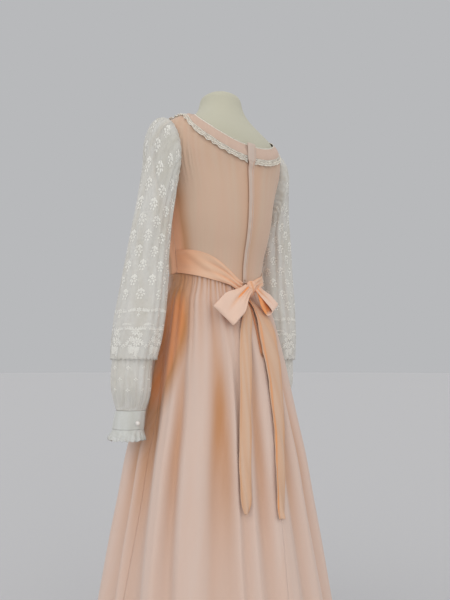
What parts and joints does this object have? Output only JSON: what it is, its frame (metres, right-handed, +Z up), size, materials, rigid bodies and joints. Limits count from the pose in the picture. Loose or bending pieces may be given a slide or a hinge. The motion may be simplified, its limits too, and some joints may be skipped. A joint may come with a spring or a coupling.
{
  "type": "prairie maxi dress on dress form",
  "caption": "Long prairie dress with sheer full sleeves, ruffled neckband, back zip and tied sash, on a limbless dress form with a round stand.",
  "frame": {"origin": "centre of the stand base's underside, on the floor", "axes": "+Z up; the dress faces -Y, its zip and bow are at +Y, the wearer's left is +X"},
  "size_m": [0.6329, 0.6424, 1.482],
  "materials": {
    "bodice_chiffon": "peach crepe chiffon, matte with a faint sheen",
    "skirt_chiffon": "pale peach chiffon over the same cloth, matte with a faint sheen",
    "sash_chiffon": "warm peach chiffon, doubled, soft sheen",
    "sleeve_net": "sheer ivory net with embroidered sprigs",
    "ivory_lace": "ivory lace",
    "pearl": "pearlised plastic",
    "form_cover": "plain cream cotton jersey stretched over a hard torso",
    "stand_metal": "cream powder-coated steel"
  },
  "bodies": {
    "root": {"bodice_back_left": "bodice_chiffon", "bodice_back_right": "bodice_chiffon", "bodice_front": "bodice_chiffon", "neckband": "bodice_chiffon", "zip_placket": "bodice_chiffon", "skirt_back_left": "skirt_chiffon", "skirt_back_right": "skirt_chiffon", "skirt_front": "skirt_chiffon", "bow_knot": "sash_chiffon", "bow_loop_left": "sash_chiffon", "bow_loop_right": "sash_chiffon", "bow_tail_left": "sash_chiffon", "bow_tail_right": "sash_chiffon", "sash_left": "sash_chiffon", "sash_right": "sash_chiffon", "sleeve_lower_left": "sleeve_net", "sleeve_lower_right": "sleeve_net", "sleeve_upper_left": "sleeve_net", "sleeve_upper_right": "sleeve_net", "cuff_left": "ivory_lace", "cuff_right": "ivory_lace", "cuff_ruffle_left": "ivory_lace", "cuff_ruffle_right": "ivory_lace", "neck_picot_lace": "ivory_lace", "neck_ruffle_lace": "ivory_lace", "pearl_button_left": "pearl", "pearl_button_right": "pearl", "form_torso": "form_cover", "stand_base": "stand_metal", "stand_pole": "stand_metal"}
  },
  "joints": []
}
